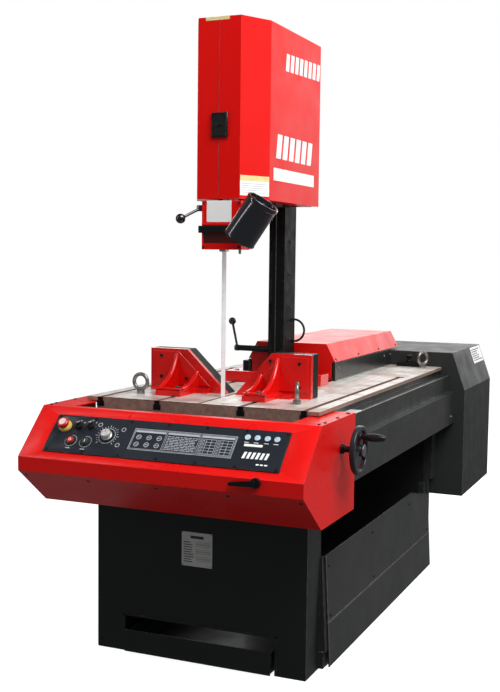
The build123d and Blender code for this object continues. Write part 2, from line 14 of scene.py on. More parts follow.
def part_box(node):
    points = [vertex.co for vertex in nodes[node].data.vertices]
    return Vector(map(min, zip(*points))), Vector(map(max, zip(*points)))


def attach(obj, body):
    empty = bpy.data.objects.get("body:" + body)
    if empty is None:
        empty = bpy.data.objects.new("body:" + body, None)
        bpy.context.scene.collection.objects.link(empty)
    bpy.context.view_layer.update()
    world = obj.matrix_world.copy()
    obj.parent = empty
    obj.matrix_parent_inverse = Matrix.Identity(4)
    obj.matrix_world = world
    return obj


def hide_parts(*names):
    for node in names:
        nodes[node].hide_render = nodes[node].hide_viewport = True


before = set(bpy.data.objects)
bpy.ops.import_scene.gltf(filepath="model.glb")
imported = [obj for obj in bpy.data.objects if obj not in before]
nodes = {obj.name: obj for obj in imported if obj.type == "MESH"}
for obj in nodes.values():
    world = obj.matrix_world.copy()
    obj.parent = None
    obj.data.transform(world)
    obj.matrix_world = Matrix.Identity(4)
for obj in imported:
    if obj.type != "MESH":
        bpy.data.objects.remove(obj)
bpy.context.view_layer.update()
random.seed(7)

cabinet_low, cabinet_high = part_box("base_cabinet")
DATUM = Vector(((cabinet_low.x + cabinet_high.x) / 2, cabinet_low.y, 0))


def at(x, y, z):
    """A point given in machine millimetres, in the row frame."""
    return DATUM + Vector((x, y, z)) / 1000


def axes(origin, x, y):
    """Axes in millimetres from two directions and an origin, as a matrix."""
    x, y = Vector(x).normalized(), Vector(y).normalized()
    turn = Matrix((x, y, x.cross(y))).transposed().to_4x4()
    return Matrix.Translation(at(*origin)) @ turn @ Matrix.Scale(0.001, 4)


PLAN = axes((0, 0, 0), (1, 0, 0), (0, 1, 0))
FRONT = axes((0, 0, 0), (1, 0, 0), (0, 0, 1))      # x, z, towards the viewer
SIDE = axes((0, 0, 0), (0, 1, 0), (0, 0, 1))       # y, z, x
LEFT_SIDE = axes((0, 0, 0), (0, -1, 0), (0, 0, 1))   # -y, z, -x
SLOPE = axes((0, -182, 893), (1, 0, 0), (0, 152, 153))   # the sloping control panel
CHAMFER = axes((81, 133, 0), (61, 122, 0), (0, 0, 1))   # right chamfer of the head
TABLE_TOP = 910
HEAD_SIDE = 142                 # half the head's width
GUIDE_FACE = -125               # front of the guide block, in FRONT axes

# ================= finishes =================


class Look:
    """A procedural material, built around its Principled shader."""

    def __init__(self, name):
        self.material = bpy.data.materials.new(name)
        self.material.use_nodes = True
        self.tree = self.material.node_tree
        self.shader = self.tree.nodes["Principled BSDF"]
        self.place = self.add("TexCoord").outputs["Object"]

    def add(self, kind, inputs=None, **settings):
        node = self.tree.nodes.new("ShaderNode" + kind)
        for key, value in settings.items():
            setattr(node, key, value)
        for key, value in (inputs or {}).items():
            if isinstance(value, bpy.types.NodeSocket):
                self.tree.links.new(value, node.inputs[key])
            else:
                node.inputs[key].default_value = value
        return node

    def noise(self, scale, detail=3.0, stretch=None):
        place = self.place
        if stretch:
            place = self.add("Mapping", {"Vector": place, "Scale": stretch}).outputs[0]
        return self.add("TexNoise", {"Vector": place, "Scale": scale, "Detail": detail}).outputs[0]

    def span(self, value, low, high, out_low=0.0, out_high=1.0):
        return self.add("MapRange", {0: value, 1: low, 2: high, 3: out_low, 4: out_high}).outputs[0]

    def times(self, a, b):
        return self.add("Math", {0: a, 1: b}, operation="MULTIPLY").outputs[0]

    def mix(self, factor, a, b):
        a = (*a, 1) if isinstance(a, tuple) else a
        b = (*b, 1) if isinstance(b, tuple) else b
        return self.add("Mix", {0: factor, 6: a, 7: b}, data_type="RGBA").outputs[2]

    def edges(self, radius=0.0018):
        """1 along sharp edges, 0 on flat faces, broken up by noise."""
        round_normal = self.add("Bevel", {"Radius": radius}, samples=3).outputs[0]
        flat_normal = self.add("NewGeometry").outputs["Normal"]
        dot = self.add("VectorMath", {0: round_normal, 1: flat_normal}, operation="DOT_PRODUCT")
        dot = dot.outputs["Value"]
        return self.times(self.span(dot, 0.995, 0.9), self.span(self.noise(45, 4), 0.42, 0.62))

    def set(self, name, value):
        if isinstance(value, bpy.types.NodeSocket):
            self.tree.links.new(value, self.shader.inputs[name])
        else:
            self.shader.inputs[name].default_value = value


def surface(name, colour, depth=0.78, patch=5.0, rough=0.4, metal=0.0, coat=0.0, grain=900.0, bump=0.05,
            worn=None, wear=0.5, stretch=None, dust=None, shine=0.28):
    """Paint, plastic or metal: patchy tone, fine bump, uneven gloss and wear along the edges."""
    look = Look(name)
    tone = look.span(look.noise(patch, 4, stretch), 0.32, 0.68)
    base = look.mix(tone, tuple(depth * c for c in colour), colour)
    if dust:
        base = look.mix(look.span(look.noise(2.6, 6), 0.5, 0.72, 0, 0.5), base, dust)
    if worn:
        base = look.mix(look.times(look.edges(), wear), base, worn)
    look.set("Base Color", base)
    look.set("Metallic", metal)
    look.set("Roughness", look.span(look.noise(patch * 3, 3, stretch), 0.3, 0.7, rough * 0.85, rough * 1.2))
    look.set("Specular IOR Level", shine)
    look.set("Coat Weight", coat)
    look.set("Coat Roughness", 0.12)
    height = look.noise(grain, 2, stretch)
    look.set("Normal", look.add("Bump", {"Strength": bump, "Distance": 0.001, "Height": height}).outputs[0])
    return look.material


def ground_steel(name):
    """Worn table top: grinding marks along the table, brown and grey stains; the sides are painted darker
    brown-pink as painted shade with a painted reflection of the red console.
    """
    look = Look(name)
    streak = look.span(look.noise(60, 3, (1, 0.03, 1)), 0.3, 0.7)
    base = look.mix(streak, (0.62, 0.585, 0.54), (0.84, 0.82, 0.79))
    base = look.mix(look.span(look.noise(7, 5), 0.48, 0.68, 0, 0.75), base, (0.36, 0.27, 0.20))
    base = look.mix(look.span(look.noise(22, 5), 0.58, 0.72, 0, 0.6), base, (0.16, 0.14, 0.12))
    base = look.mix(look.times(look.edges(), 0.6), base, (0.75, 0.66, 0.6))
    # Painted shade and painted reflection: faces turned away from straight up get a darker brown-pink,
    # standing in for the shaded sides and the red console reflected in them.
    up = look.add("SeparateXYZ", {0: look.add("NewGeometry").outputs["Normal"]}).outputs[2]
    base = look.mix(look.span(up, 0.9, 0.2), base, look.mix(streak, (0.27, 0.17, 0.13), (0.40, 0.27, 0.22)))
    look.set("Base Color", base)
    look.set("Metallic", 0.35)
    look.set("Roughness", look.span(look.noise(9, 4), 0.3, 0.7, 0.32, 0.55))
    height = look.noise(300, 2, (1, 0.05, 1))
    look.set("Normal", look.add("Bump", {"Strength": 0.12, "Distance": 0.0005, "Height": height}).outputs[0])
    return look.material


RED = (0.74, 0.0045, 0.003)
PALE_EDGE = (0.85, 0.22, 0.18)
GREY_EDGE = (0.20, 0.20, 0.20)
look_red = surface("red paint", RED, depth=0.95, patch=3.5, rough=0.36, coat=0.03, grain=260, bump=0.06,
                   worn=PALE_EDGE, wear=0.3, shine=0.12)
look_red_grain = surface("grained red paint", (0.78, 0.0045, 0.003), depth=0.95, patch=3.5, rough=0.30,
                         coat=0.08, grain=150, bump=0.35, worn=PALE_EDGE, wear=0.35)
look_red_cast = surface("red cast paint", RED, patch=9, rough=0.24, coat=0.45, grain=70, bump=0.14,
                        worn=PALE_EDGE, wear=0.4)
# Painted shade: red paint darkened to stand for the shadow in the guide block's recess.
look_red_shade = surface("painted recess shade", (0.085, 0.002, 0.001), depth=0.7, patch=9, coat=0.1,
                         grain=200, bump=0.1, worn=(0.4, 0.02, 0.02), wear=0.4)
look_base = surface("charcoal paint", (0.0085, 0.0105, 0.011), depth=0.8, patch=4, rough=0.34, coat=0.10,
                    grain=500, worn=GREY_EDGE)
look_side = surface("dark side paint", (0.018, 0.0205, 0.020), depth=0.7, patch=3, rough=0.30, coat=0.2,
                    grain=400, worn=(0.3, 0.28, 0.25), dust=(0.022, 0.020, 0.016))
look_housing = surface("housing paint", (0.030, 0.032, 0.032), depth=0.8, patch=4, rough=0.45, coat=0.03,
                       grain=400, worn=(0.3, 0.3, 0.3), shine=0.15)
look_frame = surface("frame paint", (0.026, 0.028, 0.027), depth=0.75, coat=0.1, grain=300, bump=0.06,
                     worn=(0.3, 0.3, 0.28), wear=0.6)
look_panel = surface("panel film", (0.014, 0.018, 0.026), depth=0.85, patch=8, rough=0.36, coat=0.1,
                     grain=800, bump=0.03, worn=GREY_EDGE)
# Black paint, also used as painted shade: the caps and floors inside the T-slots and the handwheel shaft and
# collar.
look_black_and_shade = surface("black paint", (0.006, 0.0062, 0.0066), depth=0.7, patch=8, rough=0.34, coat=0.04,
                     grain=500, worn=(0.12, 0.12, 0.13), shine=0.2)
look_column = surface("satin black paint", (0.007, 0.0075, 0.0075), depth=0.7, patch=8, rough=0.5,
                      grain=500, worn=(0.12, 0.12, 0.13), shine=0.08)
look_gloss = surface("gloss black", (0.001, 0.002, 0.008), depth=0.7, patch=14, rough=0.16, coat=1.0,
                     grain=200, bump=0.01, worn=(0.10, 0.11, 0.16), wear=0.4, shine=0.5)
look_jaw = surface("oiled jaw plate", (0.004, 0.007, 0.004), depth=0.5, patch=12, grain=120, bump=0.08,
                   worn=(0.16, 0.16, 0.14), shine=0.1)
look_table = ground_steel("ground table steel")
look_steel = surface("turned steel", (0.52, 0.51, 0.49), depth=0.7, patch=20, rough=0.28, metal=1.0,
                     worn=(0.8, 0.8, 0.8))
look_dark_steel = surface("blued steel", (0.16, 0.16, 0.165), depth=0.6, patch=16, rough=0.38, metal=0.9,
                          grain=700, bump=0.06, worn=(0.5, 0.5, 0.5))
look_zinc = surface("forged eye steel", (0.34, 0.33, 0.31), depth=0.6, patch=30, rough=0.34, metal=0.85,
                    grain=260, bump=0.15, worn=(0.7, 0.68, 0.64))
look_lens = surface("pale lens", (0.50, 0.66, 0.80), depth=0.85, patch=60, rough=0.25, coat=0.6,
                    bump=0.02, worn=(0.9, 0.95, 1))
look_yellow = surface("yellow plastic", (0.78, 0.55, 0.10), depth=0.85, patch=30, rough=0.35, coat=0.3,
                      bump=0.04, worn=(0.9, 0.8, 0.5), wear=0.4)
look_button_red = surface("red plastic", (0.62, 0.012, 0.010), depth=0.8, patch=40, rough=0.22, coat=0.7,
                          grain=600, bump=0.02, worn=(0.9, 0.4, 0.35), wear=0.4)
look_button_grey = surface("grey plastic", (0.035, 0.050, 0.040), depth=0.8, patch=40, rough=0.3,
                           coat=0.5, grain=600, bump=0.02, worn=(0.3, 0.3, 0.3), wear=0.4)
look_plastic = surface("black plastic", (0.010, 0.010, 0.011), depth=0.7, patch=30, rough=0.3, coat=0.3,
                       worn=(0.1, 0.1, 0.1), wear=0.4)
look_blade = surface("pale blade steel", (0.86, 0.86, 0.86), depth=0.94, patch=20, rough=0.3, metal=0.1,
                     bump=0.03, worn=(0.95, 0.95, 0.95))
look_cover = surface("glossy red cover", RED, depth=0.9, patch=3.5, coat=0.22, grain=260, bump=0.06,
                     worn=PALE_EDGE, wear=0.3)
look_rubber = surface("rubber", (0.013, 0.013, 0.013), depth=0.7, patch=40, rough=0.6, grain=700,
                      bump=0.1, worn=(0.06, 0.06, 0.06), wear=0.4)
look_wheel = surface("handwheel paint", (0.020, 0.025, 0.032), depth=0.75, patch=20, rough=0.34,
                     metal=0.1, coat=0.2, grain=500, worn=GREY_EDGE)
look_white = surface("white film", (0.93, 0.93, 0.92), depth=0.96, patch=12, grain=700, bump=0.02,
                     worn=(0.6, 0.55, 0.5), wear=0.4)
look_silver = surface("satin silver", (0.74, 0.74, 0.72), depth=0.8, patch=60, rough=0.3, metal=0.35,
                      coat=0.2, bump=0.04, worn=(0.95, 0.95, 0.95))
# Painted highlight: a pale pink colour for the glare on top of the emergency stop.
look_glare = surface("painted glare on the button", (0.86, 0.66, 0.62), depth=0.85, patch=60, rough=0.3, coat=0.5,
                     bump=0.04, worn=(0.95, 0.8, 0.8), wear=0.4)
look_print = surface("pale print", (0.52, 0.55, 0.60), depth=0.85, patch=40, rough=0.5, bump=0.02,
                     worn=(0.3, 0.3, 0.3), wear=0.4)
look_ink = surface("dark print", (0.06, 0.06, 0.065), depth=0.8, patch=40, rough=0.5, bump=0.02,
                   worn=(0.2, 0.2, 0.2), wear=0.4)
look_plate = surface("engraved plate", (0.66, 0.66, 0.65), depth=0.85, patch=25, rough=0.38, metal=0.1,
                     grain=700, worn=(0.7, 0.7, 0.7))
look_brass = surface("pale yellow film", (0.84, 0.70, 0.32), depth=0.88, patch=30, grain=700, bump=0.03,
                     worn=(0.6, 0.5, 0.3), wear=0.4)
look_floor = surface("floor", (0.45, 0.45, 0.45), depth=0.985, patch=0.6, rough=0.6, grain=60, bump=0.02)
floor_shader = look_floor.node_tree.nodes["Principled BSDF"]
floor_shader.inputs["Emission Color"].default_value = (1, 1, 1, 1)
floor_shader.inputs["Emission Strength"].default_value = 0.93      # white out to the horizon

FINISH = (
    (look_base, "base_cabinet chip_drawer"),
    (look_side, "side_panels table_skirts"),
    (look_housing, "rear_housing"),
    (look_frame, "bed_frame carriage_beam lower_frame head_frame trunnion_housing gear_motor gear_housing"),
    (look_red, "head_shell head_door guide_block"),
    (look_cover, "trunnion_cover"),
    (look_red_grain, "console_housing"),
    (look_red_cast, "vise_body_left vise_body_right column_guard_bar"),
    (look_jaw, "jaw_plate_left jaw_plate_right"),
    (look_panel, "control_panel"),
    # The handwheel shaft is painted black as painted shade, for the shadow it sits in between the console and
    # the wheel.
    (look_black_and_shade, "console_screws console_lever tilt_clamp_bar handwheel_shaft"),
    (look_column, "column"),
    (look_wheel, "handwheel"),
    (look_table, "table_left table_right"),
    (look_steel, "guide_rails feed_screw drive_shaft upper_axle guide_post guide_inserts speed_knob "
                 "feed_nut"),
    (look_blade, "saw_blade"),
    (look_dark_steel, "vise_bolts_left vise_bolts_right rail_blocks trunnion_shaft upper_wheel lower_wheel"),
    (look_zinc, "eye_bolts"),
    (look_lens, "indicator_lamps"),
    (look_yellow, "estop_collar"),
    (look_button_red, "estop_button stop_button"),
    (look_button_grey, "start_button"),
    (look_gloss, "tilt_clamp_lever guide_clamp_lever work_lamp"),
    (look_plastic, "selector_left selector_right handwheel_grip head_latch"),
    (look_rubber, "hose"),
)
BEVELS = {"vise_body_left": 3.0, "vise_body_right": 3.0, "console_housing": 2.0, "trunnion_cover": 2.0,
          "head_shell": 1.0, "head_door": 1.0, "saw_blade": 0, "hose": 0, "eye_bolts": 0, "feed_screw": 0,
          "console_lever": 1.5, "handwheel": 1.2, "rear_housing": 1.2, "base_cabinet": 1.4}


def pair(side, inner, outer):
    """Two distances from the middle as x values, lowest first; side is -1 for left and 1 for right."""
    return sorted((side * inner, side * outer))


def round_edges(obj, width):
    """A small bevel, its width in millimetres, on edges sharper than 35 degrees."""
    edge = obj.modifiers.new("edges", "BEVEL")
    edge.width = width / 1000
    edge.segments = 2
    edge.limit_method = "ANGLE"
    edge.angle_limit = math.radians(35)
    edge.harden_normals = True


for material, names in FINISH:
    for name in names.split():
        obj = nodes[name]
        obj.data.materials.clear()
        obj.data.materials.append(material)
        weld = obj.modifiers.new("weld", "WELD")
        weld.merge_threshold = 0.00002
        flat = obj.modifiers.new("flat", "DECIMATE")
        flat.decimate_type = "DISSOLVE"
        flat.angle_limit = math.radians(0.6)
        if BEVELS.get(name, 0.9):
            round_edges(obj, BEVELS.get(name, 0.9))

# ================= shapes =================


class Form:
    """A mesh under construction. Sizes are machine millimetres in the given axes."""

    def __init__(self, place=PLAN):
        self.bm = bmesh.new()
        self.place = place

    def rings(self, rings, place=None, caps=True, loop=False):
        place = place or self.place
        made = [[self.bm.verts.new(place @ Vector(p)) for p in ring] for ring in rings]
        pairs = list(zip(made, made[1:])) + ([(made[-1], made[0])] if loop else [])
        for a, b in pairs:
            for k in range(len(a)):
                self.bm.faces.new((a[k - 1], a[k], b[k], b[k - 1]))
        if caps and not loop:
            self.bm.faces.new(made[0][::-1])
            self.bm.faces.new(made[-1])
        return self

    def prism(self, outline, z0, z1, place=None):
        return self.rings([[(*p, z) for p in outline] for z in (z0, z1)], place)

    def box(self, x0, x1, y0, y1, z0, z1, place=None):
        return self.prism([(x0, y0), (x1, y0), (x1, y1), (x0, y1)], z0, z1, place)

    def border(self, x0, x1, y0, y1, width, z0, z1, place=None):
        self.box(x0, x1, y0, y0 + width, z0, z1, place)
        self.box(x0, x1, y1 - width, y1, z0, z1, place)
        self.box(x0, x0 + width, y0 + width, y1 - width, z0, z1, place)
        return self.box(x1 - width, x1, y0 + width, y1 - width, z0, z1, place)

    def lathe(self, profile, x=0, y=0, place=None, steps=40, closed=False):
        """Turns (radius, height) pairs about the axis through x, y."""
        turns = [(math.cos(math.tau * k / steps), math.sin(math.tau * k / steps)) for k in range(steps)]
        rings = [[(x + max(r, 0.02) * c, y + max(r, 0.02) * s, h) for c, s in turns] for r, h in profile]
        return self.rings(rings, place, True, closed)

    def ring(self, x, y, r, width, z0, z1, place=None, steps=32):
        return self.lathe([(r - width, z0), (r, z0), (r, z1), (r - width, z1)], x, y, place, steps, True)

    def tube(self, path, radius, place=None, sides=12):
        path = [Vector(p) for p in path]
        rings = []
        side = None
        for k, point in enumerate(path):
            ahead = (path[min(k + 1, len(path) - 1)] - path[max(k - 1, 0)]).normalized()
            side = side or ahead.orthogonal().normalized()
            side = (side - ahead * side.dot(ahead)).normalized()
            across = ahead.cross(side)
            turns = [math.tau * j / sides for j in range(sides)]
            rings.append([point + radius * (side * math.cos(a) + across * math.sin(a)) for a in turns])
        return self.rings(rings, place)

    def screw(self, x, y, z, r=5.0, place=None, tall=2.5):
        """A socket head: rounded rim, dished middle."""
        profile = [(r * 0.96, z), (r, z + tall * 0.3), (r, z + tall * 0.75), (r * 0.85, z + tall),
                   (r * 0.5, z + tall), (r * 0.42, z + tall * 0.45), (0.1, z + tall * 0.4)]
        return self.lathe(profile, x, y, place, 20)


def piece(name, form, body, material, bevel=0.0, replaces=()):
    """Turns a form into an object that rides on a body."""
    bmesh.ops.recalc_face_normals(form.bm, faces=form.bm.faces[:])
    mesh = bpy.data.meshes.new(name)
    form.bm.to_mesh(mesh)
    form.bm.free()
    mesh.materials.append(material)
    mesh.shade_smooth()
    mesh.set_sharp_from_angle(angle=math.radians(38))
    obj = bpy.data.objects.new(name, mesh)
    bpy.context.scene.collection.objects.link(obj)
    if bevel:
        round_edges(obj, bevel)
    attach(obj, body)
    if replaces:
        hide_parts(*replaces)
    return obj


# ================= control panel =================
FACE = 4.0                      # panel face above the slope
INK = FACE + 0.4                # top of the printed lines
SPEED_AT = (-208, -108)
ESTOP_AT = (-378, -84)
STOP_AT, START_AT = (-334, -138), (-278, -138)
SELECTORS_AT = ((-328, -78), (-284, -74))
LAMPS_U, LAMPS_V = (282, 315, 349, 381), -68
print_lines = Form(SLOPE)
print_lines.border(-116, 249, -151, -68, 1.6, FACE, FACE + 0.5)
for x0, x1 in ((-112, 2), (6, 122), (126, 245)):
    print_lines.border(x0, x1, -147, -72, 1.1, FACE, FACE + 0.45)
    print_lines.box(x0 + 3, x1 - 3, -82, -75, FACE, INK)
for row in range(9):
    v = -90 - row * 6.2
    x = 11
    while x < 112:
        run = random.uniform(6, 22)
        print_lines.box(x, min(x + run, 118), v - 1.3, v + 1.3, FACE, INK)
        x += run + 3
for x0, x1 in ((131, 183), (188, 240)):
    for row in range(6):
        v = -88 - row * 11
        print_lines.box(x0, x1, v - 0.7, v + 0.7, FACE, FACE + 0.45)
    for col in range(4):
        u = x0 + (x1 - x0) * col / 3
        print_lines.box(u - 0.6, u + 0.6, -143, -88, FACE, INK)
    for row in range(5):
        print_lines.box(x0 + 3, x0 + 12, -94.6 - row * 11, -92.6 - row * 11, FACE, INK)
for col, row in ((0, 0), (1, 0), (2, 0), (0, 1), (1, 1), (2, 1)):
    u, v = -92 + 37 * col, -101 - 28 * row
    print_lines.ring(u, v, 9, 2.2, FACE, FACE + 0.5, None, 28)
    print_lines.box(u - 5, u + 5, v - 1.2, v + 1.2, FACE, INK)
piece("panel_chart", print_lines, "bed", look_print)

bars = Form(SLOPE)
bars.box(278, 340, -101, -92, FACE, INK)
for k in range(6):
    u = 284 + 15 * k
    bars.prism([(u, -146), (u + 9, -146), (u + 13, -122), (u + 4, -122)], FACE, INK)
for k in range(3):
    bars.box(338 + 14 * k, 348 + 14 * k, -168, -163, FACE, INK)
for u in LAMPS_U:
    bars.box(u - 8, u + 8, LAMPS_V - 19, LAMPS_V - 17, FACE, INK)
piece("panel_bars", bars, "bed", look_white)

ticks = Form(SLOPE)
ticks.ring(*SPEED_AT, 30, 1.6, FACE, INK, None, 48)
for k in range(19):
    turn = math.radians(225 - 15 * k)
    long = 9 if k % 3 == 0 else 5
    outward = Vector((math.cos(turn), math.sin(turn)))
    half = 0.9 * Vector((-outward.y, outward.x))
    near = Vector(SPEED_AT) + 34 * outward
    far = near + long * outward
    ticks.prism([near + half, near - half, far - half, far + half], FACE, INK)
for u, v in ((-157, -78), (-157, -140), (-250, -66)):
    ticks.ring(u, v, 8, 2, FACE, INK, None, 28)
for u, v in SELECTORS_AT:
    for turn in (45, 90, 135):
        a = math.radians(turn)
        ticks.ring(u + 22 * math.cos(a), v + 22 * math.sin(a), 3, 1.3, FACE, INK, None, 16)
for u, v in (STOP_AT, START_AT):
    ticks.ring(u, v, 22, 1.2, FACE, INK, None, 40)
    ticks.box(u - 8, u + 8, v - 31, v - 28, FACE, INK)
piece("panel_ticks", ticks, "bed", look_print)

bezels = Form(SLOPE)
for u in LAMPS_U:
    bezels.ring(u, LAMPS_V, 13, 3, FACE, FACE + 2.2)
for u, v in SELECTORS_AT:
    bezels.ring(u, v, 17, 3.2, FACE, FACE + 3)
bezels.ring(*SPEED_AT, 25, 7, FACE, FACE + 3, None, 48)
for u, v in (STOP_AT, START_AT):
    bezels.ring(u, v, 18, 3, FACE, FACE + 5)
piece("panel_bezels", bezels, "bed", look_plastic, 0.5)

for hand, place, look in zip(("left", "right"), SELECTORS_AT, (look_print, look_white)):
    mark = Form(SLOPE)
    pointing = Vector((math.cos(math.radians(60)), math.sin(math.radians(60))))
    half = Vector((pointing.y, -pointing.x))
    near, far = Vector(place) + 2 * pointing, Vector(place) + 11 * pointing
    mark.prism([near + half, far + half, far - half, near - half], 21, 21.5)
    piece(f"selector_mark_{hand}", mark, f"selector_{hand[0]}", look)
knob = Form(SLOPE)
knob.lathe([(18, 4.6), (18.4, 6), (18.4, 8), (16, 9.5), (15.4, 20), (14.4, 24.6), (12, 25.6), (0.1, 25.6)],
           *SPEED_AT)
for k in range(20):
    a = math.tau * k / 20
    u, v = SPEED_AT[0] + 15.4 * math.cos(a), SPEED_AT[1] + 15.4 * math.sin(a)
    knob.lathe([(1.5, 10), (1.5, 21), (0.6, 22.5)], u, v, None, 8)
piece("speed_knob_skirt", knob, "speed_dial", look_silver, 0.4, ("speed_knob",))
mark = Form(SLOPE).box(-209, -207, -106, -96, 25.6, 26)
piece("speed_knob_mark", mark, "speed_dial", look_ink)
mushroom = Form(SLOPE)
mushroom.lathe([(11.9, -14), (11.9, 20), (17, 20.6), (19.4, 22), (20, 25), (19.6, 29), (17.4, 32),
                (13, 33.6), (7, 34), (0.1, 34)], *ESTOP_AT, None, 48)
piece("estop_mushroom", mushroom, "estop", look_button_red, 0, ("estop_button",))
# Painted highlight: the pale top face of the mushroom stands in for glare on the red button.
face = Form(SLOPE).lathe([(12.6, 33.4), (12.4, 33.9), (7, 34.5), (0.1, 34.6)], *ESTOP_AT, None, 40)
piece("estop_glare", face, "estop", look_glare)
collar = Form(SLOPE)
collar.lathe([(12.4, 4), (23, 4), (23, 9), (21.6, 12.6), (19, 14), (12.4, 14)], *ESTOP_AT, None, 48, True)
piece("estop_ring", collar, "bed", look_yellow, 0, ("estop_collar",))
for name, (u, v), look, kind in (("stop", STOP_AT, look_button_red, "red_plastic"),
                                 ("start", START_AT, look_button_grey, "grey_plastic")):
    cap = Form(SLOPE)
    cap.lathe([(11.8, -6), (11.8, 10), (11.2, 12.2), (9.6, 12.9), (7.5, 12.2), (0.1, 11.6)], u, v)
    piece(f"{name}_cap", cap, f"{name}_push", look, 0, (f"{name}_button",))
    icon = Form(SLOPE)
    if name == "stop":
        icon.ring(u, v, 5, 1.5, 12.0, 12.6, None, 24)
    else:
        icon.box(u - 1, u + 1, v - 5, v + 5, 11.9, 12.4)
    piece(f"{name}_icon", icon, f"{name}_push", look_white)

# ================= console =================
seams = Form()
seams.box(-491, 491, -150, -148.6, 892.6, 893.1)
for x in (-486, 486):
    seams.box(x - 1, x + 1, -150, 150, 892.6, 893.1)
piece("console_seams", seams, "bed", look_ink)
caps = Form()
for x in (-496, 496):
    for y in (-120, 0, 110):
        caps.screw(x, y, 893, 6)
piece("console_top_screws", caps, "bed", look_black_and_shade)
under = axes((0, -334, 693), (1, 0, 0), (0, 162, -129))
marks = Form(under)
for x in (-490, -250, 0, 250, 490):
    marks.screw(x, 30, -0.4, 6, None, 1.2)
piece("console_under_screws", marks, "bed", look_black_and_shade)
gasket = Form().box(-500, 500, -168, 2, 563.2, 565)
piece("console_gasket", gasket, "bed", look_rubber)

# ================= base =================
plate = Form(FRONT)
plate.box(-64, 53, 340, 460, 0, 1.4)
piece("rating_plate", plate, "bed", look_plate, 0.4)
lines = Form(FRONT)
lines.box(-30, 20, 438, 448, 1.4, 1.7)
for row in range(9):
    z = 424 - row * 8.5
    lines.box(-56, -56 + random.uniform(20, 40), z - 1.4, z + 1.4, 1.4, 1.7)
    if row % 3 != 2:
        lines.border(-8, 46, z - 3.4, z + 3.4, 0.8, 1.4, 1.7)
piece("rating_lines", lines, "bed", look_ink)
rivets = Form(FRONT)
for x in (-60, 49):
    for z in (344, 456):
        rivets.screw(x, z, 1.4, 2.4, None, 1.4)
piece("rating_rivets", rivets, "bed", look_steel)
frame_lip = Form(FRONT)
frame_lip.box(-296, 296, 130, 137, 0, 2.2)
for s in (-1, 1):
    frame_lip.box(*pair(s, 288, 296), 2, 137, 0, 2.2)
piece("drawer_frame", frame_lip, "bed", look_base, 0.6)
corner = Form(FRONT)
for s in (-1, 1):
    for z in (30, 540):
        corner.screw(s * 385, z, 0, 5, None, 2)
for x in (-388, -129, 129, 388):
    corner.screw(x, 520, 0, 4, None, 1.6)
piece("cabinet_screws", corner, "bed", look_black_and_shade)
seam = Form(SIDE)
for s in (-1, 1):
    seam.box(0, 2.5, 4, 560, s * 399.6, s * 400.6)
    seam.box(126, 129, 4, 560, s * 399.6, s * 400.6)
piece("cabinet_seams", seam, "bed", look_dark_steel)

# ================= side panels =================
for hand, s in (("left", -1), ("right", 1)):
    trim = Form()
    for z0, z1, shift0, shift1 in ((2, 150, 430, 422), (160, 387, 421.2, 408.8)):
        x0, x1 = s * shift0, s * shift1
        trim.rings([[(x - s, 156, z), (x + s * 1.4, 156, z), (x + s * 1.4, 160, z), (x - s, 160, z)]
                    for x, z in ((x0, z0), (x1, z1))])
    trim.rings([[(s * 421.4, y, 152.4), (s * 423, y, 152.4), (s * 423, y, 157), (s * 421, y, 157)]
                for y in (156, 1560)])
    piece(f"panel_trim_{hand}", trim, "bed", look_zinc)
    outward = axes((s * 421.3, 0, 157), (0, s, 0), (-s * 12.8, 0, 233))
    heads = Form(outward)
    for y in (190, 700, 1240, 1520):
        for v in (16, 190):
            if y < 1500 or v < 100:
                heads.screw(s * y, v, 0, 5, None, 1.8)
    piece(f"panel_screws_{hand}", heads, "bed", look_black_and_shade)

# ================= beams and rails =================
for hand, s in (("left", -1), ("right", 1)):
    bolts = Form(SIDE if s > 0 else LEFT_SIDE)
    for y in (1592,) if s > 0 else range(170, 1600, 284):
        bolts.screw(s * y, 691, 501, 7, None, 4.5)
    piece(f"beam_bolts_{hand}", bolts, "bed", look_zinc)
    edge = Form()
    edge.box(*pair(s, 469, 475), 132, 1648, 872.6, 874.2)
    piece(f"ledge_edge_{hand}", edge, "bed", look_zinc, 0.4)
    wiper = Form()
    for y in (1190, 855):
        wiper.box(*pair(s, 444, 486), y, y + 4, 688, 704)
    piece(f"rail_wipers_{hand}", wiper, "carriage", look_rubber, 0.6)
top_plate = Form().box(430, 474, 135, 330, 873.8, 876.4)
piece("ledge_plate", top_plate, "bed", look_plate, 0.6)

# ================= table =================
for hand, s in (("left", -1), ("right", 1)):
    # Painted shade: black caps over the front mouths of the T-slots and black strips on the slot floors stand
    # in for the shadow inside the slots.
    dark = Form(FRONT)
    for x in (158, 384):
        dark.box(*pair(s, x - 9.9, x + 9.9), 884, 910.4, 11.6, 14)
        dark.box(*pair(s, x - 14.5, x + 14.5), 878, 896.5, 11.6, 13.4)
    piece(f"slot_end_shade_{hand}", dark, "bed", look_black_and_shade)
    slot_floor_shade = Form()
    slot_floor_shade.box(*pair(s, 148.4, 167.6), -11, 640, 884.4, 885.4)
    slot_floor_shade.box(*pair(s, 374.4, 393.6), -11, 1118, 884.4, 885.4)
    slot_floor_shade.box(*pair(s, 366.5, 401.5), 1119, 1151, 884.4, 885.4)
    piece(f"slot_floor_shade_{hand}", slot_floor_shade, "bed", look_black_and_shade)
apron = Form(FRONT).box(-62, 62, 861, 909.6, 11.6, 12.6)
piece("table_front_plate", apron, "bed", look_table, 0.6)
strip = Form().box(-398, 398, -12.6, -10, 908.6, 910.3)
piece("table_front_edge", strip, "bed", look_steel)
stop = Form()
stop.box(239, 346, 1600, 1644, 910, 930)
stop.lathe([(11, 930), (11, 936), (8, 940), (8, 950), (14, 954), (14, 960), (10, 963), (0.1, 963)], 292, 1622)
piece("rear_stop_block", stop, "bed", look_black_and_shade, 1.2)

